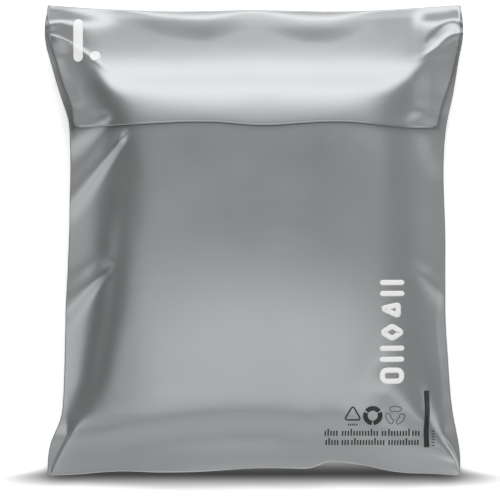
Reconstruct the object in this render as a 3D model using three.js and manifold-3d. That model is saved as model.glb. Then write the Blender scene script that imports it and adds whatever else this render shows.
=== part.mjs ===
// A closed grey poly mailer, filled with soft goods and lying on its back.
// The bag is one blown film tube: the side edges are welded and cut, the bottom edge is welded flat,
// and the back film runs past the mouth, folds over the top and is glued down on the front as the flap.
// Millimetres. X runs across the bag, Y from the bottom edge to the folded top edge, Z up through the front.
import * as THREE from "three";
import { mergeVertices } from "three/addons/utils/BufferGeometryUtils.js";
import Module from "manifold-3d";

// Film bag
const bagWidth = 350; // flat width between the welded side edges, as sold
const closedLength = 397; // bottom edge to top fold, once the flap is glued down
const weldThickness = 0.8; // two films at a welded edge
const edgeRounding = 0.5; // how far a film edge bulges out, as a share of its thickness
const rollSwell = 1.9; // how far the soft roll along the top fold swells each way where it is full
const rollWidth = 8; // how far the roll reaches in from the fold where it is full
const rollFade = 12; // extra length over which the swelling settles behind the roll
const rollSettled = 0.5; // share of the swelling that is left there
const rollNarrowest = 0.05; // least width of the roll, as a share of its full width
const clearOfWeld = 14; // distance from the side welds over which the roll comes up

// Closing flap
const flapDepth = 103; // top fold to the flap's lowest corner
const flapProud = 0.9; // flap face above the film it lies on
const flapBite = 0.4; // depth of the glued face below that film, so that the two are one body
const flapSunk = 0.1; // depth of the flap's own face below the film where both run into the top fold
const slitDepth = 10; // loose border that the glue doesn't reach
const slitGap = 0.5; // clear height under the loose border
const flapCornerRadius = 5;
const foldBlend = 14; // distance from the top fold over which the flap leaves the body
const cutterHeight = 150; // tall enough to cut the flap's outline through all of its sheet

// Soft goods inside
const frontRise = 17.5; // crown of the front above the sheet that the edges span
const backDrop = 42; // how far the goods would push the back below that sheet, before the floor stops them
const floorEase = 5; // height over which the back film curves onto the floor
const hipSharpness = 4; // the higher, the sharper the hips between the slopes of two sides
const leastClimb = 0.001; // climb right at an edge, above zero because the hips divide by it

// How the film climbs from each edge to the crown. A step is [share of the rise, middle, softness], both in
// millimetres. Reach moves the steps in or out along the side: [share of the side, factor], so that the hips
// of the pillow run out to the corners.
const frontClimb = {
  left: {
    steps: [[0.8, 40, 11], [0.2, 100, 40]],
    reach: [
      [0, 0.14], [0.03, 0.26], [0.06, 0.38], [0.095, 0.41], [0.16, 0.52], [0.29, 0.78], [0.375, 0.92],
      [0.5, 1.02], [0.65, 1.16], [0.74, 1.14], [0.78, 1.15], [0.82, 1.1], [0.85, 1.1], [0.875, 1.06],
      [0.9, 0.92], [0.923, 0.7], [0.945, 0.44], [0.97, 0.24], [1, 0.12],
    ],
  },
  right: {
    steps: [[0.8, 36, 12], [0.2, 95, 38]],
    reach: [
      [0, 0.1], [0.06, 0.3], [0.12, 0.4], [0.2, 0.46], [0.29, 0.52], [0.375, 0.65], [0.5, 0.97],
      [0.65, 1.1], [0.72, 1.22], [0.76, 1.36], [0.79, 1.42], [0.82, 1.34], [0.85, 1.26], [0.885, 1.12],
      [0.904, 0.92], [0.93, 0.56], [0.96, 0.26], [1, 0.12],
    ],
  },
  bottom: {
    steps: [[0.26, 8, 14], [0.6, 42, 15], [0.14, 100, 40]],
    reach: [
      [0, 0.5], [0.05, 0.8], [0.11, 0.86], [0.2, 0.9], [0.35, 1], [0.6, 1], [0.75, 0.88], [0.84, 0.85],
      [0.93, 0.8], [1, 0.4],
    ],
  },
  top: {
    steps: [[0.03, 30, 14], [0.69, 60, 17], [0.19, 93, 20], [0.09, 165, 45]],
    reach: [[0, 1], [1, 1]],
  },
};
// The same for the back, as far as the floor lets it
const backClimb = {
  left: { steps: [[1, 40, 12]], reach: [[0, 0.15], [0.2, 0.7], [0.5, 1], [0.8, 1], [1, 0.2]] },
  right: { steps: [[1, 40, 12]], reach: [[0, 0.15], [0.2, 0.7], [0.5, 1], [0.8, 1], [1, 0.2]] },
  bottom: { steps: [[1, 44, 14]], reach: [[0, 0.1], [0.15, 0.9], [0.5, 1], [0.85, 0.9], [1, 0.1]] },
  top: { steps: [[1, 44, 14]], reach: [[0, 0.2], [0.2, 0.9], [0.5, 1], [0.8, 0.9], [1, 0.2]] },
};
// A short reach makes the steps crisper too, and a long one softer
const crispBelow = 0.55;
const softUpTo = 1.25;
const softening = 2.5;

// Edge shapes: [share of the side, millimetres drawn in from the flat outline].
// Left and right run from the bottom edge to the top fold, bottom and top from left to right.
const drawnIn = {
  left: [
    [0, 0.4], [0.04, 1.2], [0.08, 5.3], [0.12, 12.2], [0.16, 14.6], [0.31, 17], [0.52, 20.3],
    [0.71, 21.2], [0.755, 19.6], [0.8, 14], [0.88, 4.6], [0.925, 0.2], [0.955, 0], [1, 1.4],
  ],
  right: [
    [0, 1], [0.04, 1], [0.08, 3.5], [0.12, 6.9], [0.24, 12.4], [0.33, 15.1], [0.52, 15.3],
    [0.71, 15.6], [0.757, 13.1], [0.8, 9.4], [0.89, 3.3], [0.925, 0.6], [0.955, 0], [1, 1],
  ],
  bottom: [
    [0, 0.3], [0.07, 1.3], [0.125, 3.4], [0.175, 4.7], [0.26, 4.8], [0.43, 7.1], [0.6, 8.8],
    [0.65, 9.4], [0.693, 12.6], [0.77, 10], [0.82, 5.8], [0.87, 3.4], [0.93, 2.2], [1, 0],
  ],
  top: [
    [0, 0], [0.08, 2.6], [0.16, 4.3], [0.31, 6.4], [0.49, 5.4], [0.7, 6.4], [0.9, 2.7], [1, 0],
  ],
};

// Height of the welded edge or the fold above the floor: [share of the side, millimetres]
const edgeHeight = {
  left: [[0, 5], [0.12, 9], [0.3, 19], [0.55, 23], [0.8, 22], [1, 15]],
  right: [[0, 5], [0.12, 9], [0.3, 20], [0.55, 24], [0.8, 22], [1, 15]],
  bottom: [
    [0, 5], [0.04, 5.6], [0.1, 9], [0.2, 15.5], [0.5, 21], [0.69, 22], [0.82, 17], [0.92, 9], [0.97, 5.6],
    [1, 5],
  ],
  top: [[0, 15], [0.2, 20], [0.5, 22], [0.8, 20], [1, 15]],
};

// Both top corners stand up: the bag steps up from the fold there, and the lift dies out below
const cornerLift = {
  height: 6.5,
  middle: 9, // how far in from the fold the step is, and how soft
  softness: 6,
  fadeFrom: 40,
  fadeTo: 150,
  share: [
    [0, 1], [0.06, 1], [0.1, 0.85], [0.165, 0.15], [0.22, 0], [0.78, 0], [0.835, 0.15], [0.9, 0.85],
    [0.94, 1], [1, 1],
  ],
};

// How full the roll along the top fold is: [share of the side, fullness]
const rollFullness = [
  [0, 0.1], [0.1, 0.1], [0.16, 0.02], [0.2, 0.02], [0.25, 0.4], [0.32, 0.75], [0.38, 0.9], [0.45, 0.5],
  [0.5, 0.3], [0.56, 0.6], [0.62, 0.95], [0.68, 0.95], [0.74, 0.5], [0.78, 0.1], [0.82, 0.02], [0.9, 0.02],
  [1, 0.1],
];

// Flap outline: the free edge above its lowest corner, and how far its sides lie in from the bag's sides
const flapEdgeRise = [
  [0, -0.6], [0.07, -0.8], [0.106, -0.6], [0.16, 0.4], [0.25, 1.6], [0.35, 2.9], [0.43, 2.2], [0.51, 0],
  [0.6, 1.4], [0.69, 3], [0.73, 2.7], [0.8, 0.7], [0.85, -0.6], [0.93, -1.3], [1, -1.3],
];
const flapSideIn = {
  left: [[0.7, 3], [0.742, 3.2], [0.76, 4.6], [0.79, 5.9], [0.84, 4.6], [0.9, 4.2], [0.95, 2.5], [1, 0.6]],
  right: [[0.7, 6.8], [0.742, 6.7], [0.79, 6.4], [0.825, 4.2], [0.87, 2.1], [0.92, 1.7], [0.95, 1], [1, 0.4]],
};

// Folds that the goods pull into the film. The path's points are [share of the side, millimetres in from
// it], height is the ridge's own (negative for a furrow), wide and narrow its half widths at the path's two
// ends, and steep widens the half width on the side to the left of the way along the path.
const folds = [
  {
    side: "left", height: 3.2, wide: 8, narrow: 3.5, steep: 1.8,
    path: [[0.585, 0], [0.66, 25], [0.722, 46]],
  },
  {
    side: "left", height: 3.4, wide: 9, narrow: 3.6, steep: 1.8,
    path: [[0.355, 0], [0.415, 22], [0.452, 40]],
  },
  { side: "left", height: 1.3, wide: 8, narrow: 4, steep: 1.6, path: [[0.712, 2], [0.768, 38]] },
  { side: "left", height: -2.2, wide: 7, narrow: 4, steep: 1, path: [[0.93, 0], [0.72, 0]] },
  {
    side: "left", height: 1, wide: 4, narrow: 4, steep: 1,
    path: [[0.935, 0], [0.92, 17], [0.888, 34], [0.852, 47]],
  },
  {
    side: "right", height: 1, wide: 4, narrow: 4, steep: 1,
    path: [[0.94, 0], [0.932, 14], [0.906, 26], [0.879, 40]],
  },
  { side: "right", height: 1.6, wide: 8, narrow: 4, steep: 1, path: [[0.39, 2], [0.455, 29]] },
  { side: "right", height: 0.9, wide: 12, narrow: 9, steep: 1, path: [[0.67, 5], [0.77, 30]] },
  {
    side: "right", height: 1.8, wide: 4, narrow: 9, steep: 1,
    path: [[0.005, 3], [0.058, 7], [0.105, 15], [0.132, 26], [0.174, 46]],
  },
  { side: "bottom", height: 1, wide: 5, narrow: 4, steep: 1, path: [[0.655, 0], [0.66, 18]] },
];
const foldSteps = 8; // straight pieces to a stretch of a fold's path
const tipReach = 1.06; // share of its path at which a fold has died out
const tipFade = 0.22; // share of the path over which it dies out there
const footFade = 0.5; // and before the path's first point
const foldCarry = 18; // distance from the edges over which the back film loses the front film's folds

// Mesh density: cells across and along the back; the front has twice as many each way
const backCellsAcross = 28;
const backCellsAlong = 31;
const cellsAcross = 2 * backCellsAcross;
const cellsAlong = 2 * backCellsAlong;
const edgeCrowding = 0.35; // 0 spaces the cells evenly, 1 crowds them at the edges

const filmColour = 0x9a9ea1;

// A natural cubic spline through [position, value] points, flat beyond its ends
function smoothThrough(points) {
  const last = points.length - 1;
  const span = (i) => points[i + 1][0] - points[i][0];
  const slope = (i) => (points[i + 1][1] - points[i][1]) / span(i);
  const bends = points.map(() => 0);
  const carried = points.map(() => 0);
  for (let i = 1; i < last; i += 1) {
    const pivot = 2 * (span(i - 1) + span(i)) - span(i - 1) * carried[i - 1];
    carried[i] = span(i) / pivot;
    bends[i] = (6 * (slope(i) - slope(i - 1)) - span(i - 1) * bends[i - 1]) / pivot;
  }
  for (let i = last - 1; i > 0; i -= 1) bends[i] -= carried[i] * bends[i + 1];
  return (position) => {
    const p = THREE.MathUtils.clamp(position, points[0][0], points[last][0]);
    let i = 0;
    while (i < last - 1 && p > points[i + 1][0]) i += 1;
    const after = (p - points[i][0]) / span(i);
    const before = 1 - after;
    const bow = (before ** 3 - before) * bends[i] + (after ** 3 - after) * bends[i + 1];
    return before * points[i][1] + after * points[i + 1][1] + (bow * span(i) ** 2) / 6;
  };
}

const smoothMap = (table) => Object.fromEntries(Object.entries(table).map(([k, v]) => [k, smoothThrough(v)]));
const drawIn = smoothMap(drawnIn);
const heightOf = smoothMap(edgeHeight);
const flapIn = smoothMap(flapSideIn);
const flapRise = smoothThrough(flapEdgeRise);
const rollFull = smoothThrough(rollFullness);
const liftShare = smoothThrough(cornerLift.share);

const shareAlong = (y) => y / closedLength + 0.5;
const shareAcross = (x) => x / bagWidth + 0.5;
const leftX = (y) => -bagWidth / 2 + drawIn.left(shareAlong(y));
const rightX = (y) => bagWidth / 2 - drawIn.right(shareAlong(y));
const bottomY = (x) => -closedLength / 2 + drawIn.bottom(shareAcross(x));
const topY = (x) => closedLength / 2 - drawIn.top(shareAcross(x));
const flapFreeY = (x) => closedLength / 2 - flapDepth + flapRise(shareAcross(x));
const flapLeftX = (y) => leftX(y) + flapIn.left(shareAlong(y));
const flapRightX = (y) => rightX(y) - flapIn.right(shareAlong(y));

// Distances in from the four edges
function insets(x, y) {
  return {
    left: Math.max(x - leftX(y), 0),
    right: Math.max(rightX(y) - x, 0),
    bottom: Math.max(y - bottomY(x), 0),
    top: Math.max(topY(x) - y, 0),
  };
}

// Climb from one edge: 0 at the edge, 1 far inside
function softClimb(steps, inward, reach) {
  const crispness = Math.min(reach / crispBelow, 1) ** softening;
  const stretch = crispness * THREE.MathUtils.clamp(reach, 1, softUpTo) ** softening;
  return steps.reduce((sum, [share, middle, softness]) => {
    const ease = softness * stretch;
    const start = Math.tanh((middle * reach) / ease);
    return sum + (share * (Math.tanh((inward - middle * reach) / ease) + start)) / (1 + start);
  }, 0);
}

const climbFrom = (ways) =>
  Object.entries(ways).map(([side, { steps, reach }]) => ({ side, steps, reachAt: smoothThrough(reach) }));
const frontWays = climbFrom(frontClimb);
const backWays = climbFrom(backClimb);

// Share of the full rise at a place. The lowest side counts most, which leaves a soft hip between two sides.
function climb(x, y, inset, ways) {
  const along = { left: shareAlong(y), right: shareAlong(y), bottom: shareAcross(x), top: shareAcross(x) };
  const total = ways.reduce((sum, { side, steps, reachAt }) => {
    const share = Math.max(softClimb(steps, inset[side], reachAt(along[side])), leastClimb);
    return sum + share ** -hipSharpness;
  }, 1 - ways.length);
  return total ** (-1 / hipSharpness);
}

// Point that lies `inward` millimetres in from a side, at a share of that side's length
function fromSide(side, [share, inward]) {
  const y = (share - 0.5) * closedLength;
  const x = (share - 0.5) * bagWidth;
  if (side === "left") return new THREE.Vector2(leftX(y) + inward, y);
  if (side === "right") return new THREE.Vector2(rightX(y) - inward, y);
  if (side === "bottom") return new THREE.Vector2(x, bottomY(x) + inward);
  return new THREE.Vector2(x, topY(x) - inward);
}

// Each fold's path as short straight pieces
const foldLines = folds.map(({ side, path, ...fold }) => {
  const places = path.map((point) => fromSide(side, point));
  const xAt = smoothThrough(places.map((place, n) => [n, place.x]));
  const yAt = smoothThrough(places.map((place, n) => [n, place.y]));
  const count = (places.length - 1) * foldSteps;
  const pieces = [];
  let length = 0;
  for (let n = 0; n < count; n += 1) {
    const start = new THREE.Vector2(xAt(n / foldSteps), yAt(n / foldSteps));
    const way = new THREE.Vector2(xAt((n + 1) / foldSteps), yAt((n + 1) / foldSteps)).sub(start);
    const first = n === 0 ? -Infinity : 0;
    const last = n === count - 1 ? Infinity : way.length();
    pieces.push({ start, run: way.clone().normalize(), first, last, done: length });
    length += way.length();
  }
  return { ...fold, pieces, length };
});

// Height that one fold adds at a place: a rounded ridge along its path that dies out at both ends
function ridgeHeight(x, y, { pieces, length, height, wide, narrow, steep }) {
  let nearest = { gap: Infinity };
  pieces.forEach(({ start, run, first, last, done }) => {
    const dx = x - start.x;
    const dy = y - start.y;
    const held = THREE.MathUtils.clamp(dx * run.x + dy * run.y, first, last);
    const gap = Math.hypot(dx - held * run.x, dy - held * run.y);
    if (gap < nearest.gap) nearest = { gap, along: (done + held) / length, across: run.x * dy - run.y * dx };
  });
  const width = THREE.MathUtils.lerp(wide, narrow, THREE.MathUtils.clamp(nearest.along, 0, 1));
  const half = nearest.across > 0 ? width * steep : width;
  const tip = THREE.MathUtils.smoothstep(tipReach - nearest.along, 0, tipFade);
  const foot = THREE.MathUtils.smoothstep(nearest.along + footFade, 0, footFade);
  return height * tip * foot * Math.exp(-((nearest.gap / half) ** 2));
}

const foldHeight = (x, y) => foldLines.reduce((sum, fold) => sum + ridgeHeight(x, y, fold), 0);

// Height of the sheet between the two films, set by the edges around it
function middleHeight(x, y) {
  const u = (x - leftX(y)) / (rightX(y) - leftX(y));
  const v = (y - bottomY(x)) / (topY(x) - bottomY(x));
  const acrossEdges = (1 - u) * heightOf.left(v) + u * heightOf.right(v);
  const alongEdges = (1 - v) * heightOf.bottom(u) + v * heightOf.top(u);
  const corners =
    (1 - v) * ((1 - u) * heightOf.left(0) + u * heightOf.right(0)) +
    v * ((1 - u) * heightOf.left(1) + u * heightOf.right(1));
  return acrossEdges + alongEdges - corners;
}

// How much the top corners stand up
function liftHeight(x, inset) {
  const { height, middle, softness, fadeFrom, fadeTo } = cornerLift;
  const start = Math.tanh(middle / softness);
  const step = (Math.tanh((inset.top - middle) / softness) + start) / (1 + start);
  const fade = 1 - THREE.MathUtils.smoothstep(inset.top, fadeFrom, fadeTo);
  return height * THREE.MathUtils.clamp(liftShare(shareAcross(x)), 0, 1) * step * fade;
}

// Swelling of the film in a soft roll before it turns over the top fold
function rollHeight(x, inset) {
  const full = rollFull(shareAcross(x));
  const width = rollWidth * Math.max(full, rollNarrowest);
  const front = 1 - THREE.MathUtils.clamp(inset.top / width, 0, 1);
  const behind = THREE.MathUtils.smoothstep(inset.top, width, 2 * width + rollFade);
  const clear = THREE.MathUtils.smoothstep(Math.min(inset.left, inset.right), 0, clearOfWeld);
  return rollSwell * full * clear * (1 - front ** 2) * THREE.MathUtils.lerp(1, rollSettled, behind);
}

// Flat at 0 below, straight above, and curved between
function easeOntoFloor(z) {
  if (z <= -floorEase) return 0;
  if (z >= floorEase) return z;
  return (z + floorEase) ** 2 / (4 * floorEase);
}

function filmHeights(x, y) {
  const inset = insets(x, y);
  const middle = middleHeight(x, y) + liftHeight(x, inset);
  const fold = foldHeight(x, y);
  const nearest = Math.min(inset.left, inset.right, inset.bottom, inset.top);
  const carried = fold * Math.exp(-((nearest / foldCarry) ** 2));
  const half = weldThickness / 2 + rollHeight(x, inset);
  const back = easeOntoFloor(middle + carried - half - backDrop * climb(x, y, inset, backWays));
  const front = middle + fold + half + frontRise * climb(x, y, inset, frontWays);
  return { front: Math.max(front, back + 2 * half), back };
}

// Grid place to point in plan: the four edges are where u or v is 0 or 1
function planPoint(u, v) {
  let x = (u - 0.5) * bagWidth;
  let y = (v - 0.5) * closedLength;
  for (let pass = 0; pass < 6; pass += 1) {
    x = THREE.MathUtils.lerp(leftX(y), rightX(y), u);
    y = THREE.MathUtils.lerp(bottomY(x), topY(x), v);
  }
  return [x, y];
}

const crowd = (t) => t - (edgeCrowding * Math.sin(2 * Math.PI * t)) / (2 * Math.PI);

// Plan points of the whole grid, row by row from the bottom edge
const plan = [];
for (let j = 0; j <= cellsAlong; j += 1) {
  for (let i = 0; i <= cellsAcross; i += 1) {
    plan.push(planPoint(crowd(i / cellsAcross), crowd(j / cellsAlong)));
  }
}
const rowLength = cellsAcross + 1;
const gridIndex = (i, j) => j * rowLength + i;

// The edge of the grid as a loop, anticlockwise from above
const edgeLoop = [];
for (let i = 0; i < cellsAcross; i += 1) edgeLoop.push(gridIndex(i, 0));
for (let j = 0; j < cellsAlong; j += 1) edgeLoop.push(gridIndex(cellsAcross, j));
for (let i = cellsAcross; i > 0; i -= 1) edgeLoop.push(gridIndex(i, cellsAlong));
for (let j = cellsAlong; j > 0; j -= 1) edgeLoop.push(gridIndex(0, j));

// Triangles of a sheet over the whole grid, facing up
function fineSheet() {
  const triangles = [];
  for (let j = 0; j < cellsAlong; j += 1) {
    for (let i = 0; i < cellsAcross; i += 1) {
      const a = gridIndex(i, j);
      const b = gridIndex(i + 1, j);
      const c = gridIndex(i + 1, j + 1);
      const d = gridIndex(i, j + 1);
      if ((i < cellsAcross / 2) === (j < cellsAlong / 2)) triangles.push([a, b, c], [a, c, d]);
      else triangles.push([a, b, d], [b, c, d]);
    }
  }
  return triangles;
}

// The same sheet with cells twice as large, which keeps every point of the edge
function coarseSheet() {
  const triangles = [];
  for (let j = 0; j < cellsAlong; j += 2) {
    for (let i = 0; i < cellsAcross; i += 2) {
      const ring = [gridIndex(i, j)];
      if (j === 0) ring.push(gridIndex(i + 1, j));
      ring.push(gridIndex(i + 2, j));
      if (i + 2 === cellsAcross) ring.push(gridIndex(i + 2, j + 1));
      ring.push(gridIndex(i + 2, j + 2));
      if (j + 2 === cellsAlong) ring.push(gridIndex(i + 1, j + 2));
      ring.push(gridIndex(i, j + 2));
      if (i === 0) ring.push(gridIndex(i, j + 1));
      // A fan from the corner that lies deepest in the sheet
      const deepest = gridIndex(i < cellsAcross / 2 ? i + 2 : i, j < cellsAlong / 2 ? j + 2 : j);
      const start = ring.indexOf(deepest);
      const turned = [...ring.slice(start), ...ring.slice(0, start)];
      for (let k = 1; k < turned.length - 1; k += 1) triangles.push([turned[0], turned[k], turned[k + 1]]);
    }
  }
  return triangles;
}

// Closed solid between two sheets over the plan grid. rounding bulges the wall between them.
function solidBetween(upper, lower, lowerSheet, rounding) {
  const count = plan.length;
  const points = [
    ...plan.map(([x, y], k) => [x, y, upper[k]]),
    ...plan.map(([x, y], k) => [x, y, lower[k]]),
  ];
  const middle = edgeLoop.map((k, n) => {
    const before = plan[edgeLoop[(n + edgeLoop.length - 1) % edgeLoop.length]];
    const after = plan[edgeLoop[(n + 1) % edgeLoop.length]];
    const run = new THREE.Vector2(after[0] - before[0], after[1] - before[1]).normalize();
    const out = rounding * (upper[k] - lower[k]);
    points.push([plan[k][0] + run.y * out, plan[k][1] - run.x * out, (upper[k] + lower[k]) / 2]);
    return 2 * count + n;
  });
  const triangles = [...fineSheet(), ...lowerSheet.map(([a, b, c]) => [a + count, c + count, b + count])];
  edgeLoop.forEach((k, n) => {
    const next = (n + 1) % edgeLoop.length;
    const l = edgeLoop[next];
    triangles.push([k, middle[n], l], [l, middle[n], middle[next]]);
    triangles.push([middle[n], k + count, middle[next]], [middle[next], k + count, l + count]);
  });
  const geometry = new THREE.BufferGeometry();
  geometry.setAttribute("position", new THREE.Float32BufferAttribute(points.flat(), 3));
  geometry.setIndex(triangles.flat());
  return geometry;
}

// Outline of the flap in plan, past the top fold, with its two free corners rounded
function flapOutline() {
  const leftCorner = new THREE.Vector2(flapLeftX(flapFreeY(-bagWidth / 2)), flapFreeY(-bagWidth / 2));
  const rightCorner = new THREE.Vector2(flapRightX(flapFreeY(bagWidth / 2)), flapFreeY(bagWidth / 2));
  const beyond = closedLength / 2 + foldBlend;
  const sideSteps = 14;
  const freeSteps = 40;
  const outline = new THREE.Shape();
  outline.moveTo(-bagWidth / 2 - foldBlend, beyond);
  for (let n = 0; n <= sideSteps; n += 1) {
    const y = THREE.MathUtils.lerp(closedLength / 2, leftCorner.y + flapCornerRadius, n / sideSteps);
    outline.lineTo(flapLeftX(y), y);
  }
  const freeLeftX = leftCorner.x + flapCornerRadius;
  outline.quadraticCurveTo(leftCorner.x, leftCorner.y, freeLeftX, flapFreeY(leftCorner.x));
  for (let n = 1; n <= freeSteps; n += 1) {
    const start = leftCorner.x + flapCornerRadius;
    const end = rightCorner.x - flapCornerRadius;
    const x = THREE.MathUtils.lerp(start, end, n / freeSteps);
    outline.lineTo(x, flapFreeY(x));
  }
  const upRight = rightCorner.y + flapCornerRadius;
  outline.quadraticCurveTo(rightCorner.x, rightCorner.y, flapRightX(upRight), upRight);
  for (let n = 1; n <= sideSteps; n += 1) {
    const y = THREE.MathUtils.lerp(upRight, closedLength / 2, n / sideSteps);
    outline.lineTo(flapRightX(y), y);
  }
  outline.lineTo(bagWidth / 2 + foldBlend, beyond);
  outline.closePath();
  return outline;
}

// Geometry to solid and back, for joining the flap to the body
const wasm = await Module();
wasm.setup();

function toSolid(geometry) {
  const bare = geometry.clone();
  bare.deleteAttribute("normal");
  bare.deleteAttribute("uv");
  const merged = mergeVertices(bare, 1e-4);
  return new wasm.Manifold(
    new wasm.Mesh({
      numProp: 3,
      vertProperties: merged.attributes.position.array,
      triVerts: new Uint32Array(merged.index.array),
    }),
  );
}

function toGeometry(solid) {
  const { vertProperties, triVerts } = solid.getMesh();
  const geometry = new THREE.BufferGeometry();
  geometry.setAttribute("position", new THREE.BufferAttribute(new Float32Array(vertProperties), 3));
  geometry.setIndex(new THREE.BufferAttribute(new Uint32Array(triVerts), 1));
  return geometry;
}

const film = plan.map(([x, y]) => filmHeights(x, y));
const frontHeights = film.map(({ front }) => front);
const backHeights = film.map(({ back }) => back);
const body = toSolid(solidBetween(frontHeights, backHeights, coarseSheet(), edgeRounding));

// The flap follows the front film. Glue holds it, apart from a loose border that stands clear.
const flapTop = [];
const flapUnder = [];
plan.forEach(([x, y], k) => {
  const fromFold = THREE.MathUtils.smoothstep(Math.max(topY(x) - y, 0), 0, foldBlend);
  const fromFree = Math.min(y - flapFreeY(x), x - flapLeftX(y), flapRightX(y) - x);
  const loose = (1 - THREE.MathUtils.smoothstep(fromFree, 0, slitDepth)) * fromFold;
  const proud = THREE.MathUtils.lerp(-flapSunk, flapProud, fromFold) + loose * slitGap;
  flapTop.push(frontHeights[k] + proud);
  flapUnder.push(frontHeights[k] + THREE.MathUtils.lerp(-flapBite, slitGap, loose));
});
const flapSheet = toSolid(solidBetween(flapTop, flapUnder, fineSheet(), 0));
const flapCutter = toSolid(
  new THREE.ExtrudeGeometry(flapOutline(), { depth: cutterHeight, bevelEnabled: false, curveSegments: 6 }),
);
const bagGeometry = toGeometry(body.add(flapSheet.intersect(flapCutter)));
bagGeometry.computeBoundingBox();
const { min, max } = bagGeometry.boundingBox;
bagGeometry.translate(-(min.x + max.x) / 2, -(min.y + max.y) / 2, -min.z);
bagGeometry.computeVertexNormals();

const greyFilm = new THREE.MeshStandardMaterial({ color: filmColour, roughness: 0.4, metalness: 0.35 });
const mailerBag = new THREE.Mesh(bagGeometry, greyFilm);
mailerBag.name = "mailer_bag";

const polyMailer = new THREE.Group();
polyMailer.add(mailerBag);

export default polyMailer;
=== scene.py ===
import math

import bpy
import numpy as np
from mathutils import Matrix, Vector


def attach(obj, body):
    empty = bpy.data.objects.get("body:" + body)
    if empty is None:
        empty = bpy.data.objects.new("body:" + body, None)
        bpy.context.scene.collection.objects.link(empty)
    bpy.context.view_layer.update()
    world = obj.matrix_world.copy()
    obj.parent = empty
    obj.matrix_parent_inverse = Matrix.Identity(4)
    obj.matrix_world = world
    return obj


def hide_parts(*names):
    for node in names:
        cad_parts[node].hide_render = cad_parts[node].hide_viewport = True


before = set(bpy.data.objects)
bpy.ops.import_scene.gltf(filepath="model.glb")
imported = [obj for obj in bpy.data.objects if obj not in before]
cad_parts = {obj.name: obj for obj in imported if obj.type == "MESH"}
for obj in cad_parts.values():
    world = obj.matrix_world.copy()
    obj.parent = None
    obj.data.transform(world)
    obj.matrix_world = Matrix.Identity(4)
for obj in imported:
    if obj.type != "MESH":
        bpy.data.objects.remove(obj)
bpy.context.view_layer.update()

mm = 0.001  # sizes are given in millimetres and made metres where the meshes are made

# The closed, filled bag on its back: x runs across it, y from the bottom edge to the top fold.
# A share runs from 0 to 1 along a side: upwards on the left and right, left to right on the others.
bag = {
    "width": 350,  # flat width between the welded sides
    "length": 397,  # bottom edge to top fold
    "weld": 0.8,  # two films at a weld
    "frontRise": 17.5,  # crown of the front above the edges
    "backDrop": 42,  # how far the goods would push the back down, before the floor stops it
    "floorEase": 5,  # the back turns level over this height above and below the floor
    "hip": 4,  # the higher, the sharper the hips between the sides' slopes
    "cells": (250, 284),  # across and along the front, even numbers; the back has half as many
    "crowding": 0.35,  # how much the cells crowd towards the edges
}

# How far each edge is drawn in from the flat outline
drawnIn = {
    "left": [
        (0, 0.4), (0.04, 1.2), (0.08, 5.3), (0.12, 12.2), (0.16, 14.6), (0.31, 17), (0.52, 20.3),
        (0.71, 21.2), (0.755, 19.6), (0.8, 14), (0.88, 4.6), (0.925, 0.2), (0.955, 0), (1, 1.4),
    ],
    "right": [
        (0, 1), (0.04, 1), (0.08, 3.5), (0.12, 6.9), (0.24, 12.4), (0.33, 15.1), (0.52, 15.3),
        (0.71, 15.6), (0.757, 13.1), (0.8, 9.4), (0.89, 3.3), (0.925, 0.6), (0.955, 0), (1, 1),
    ],
    "bottom": [
        (0, 0.3), (0.07, 1.3), (0.125, 3.4), (0.175, 4.7), (0.26, 4.8), (0.43, 7.1), (0.6, 8.8),
        (0.64, 9.8), (0.665, 13), (0.685, 14.4), (0.715, 13.6), (0.77, 10.2), (0.82, 5.9), (0.87, 3.4),
        (0.93, 2.2), (1, 0),
    ],
    "top": [(0, 0), (0.08, 2.6), (0.16, 4.3), (0.31, 6.4), (0.49, 5.4), (0.7, 6.4), (0.9, 2.7), (1, 0)],
}

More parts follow.
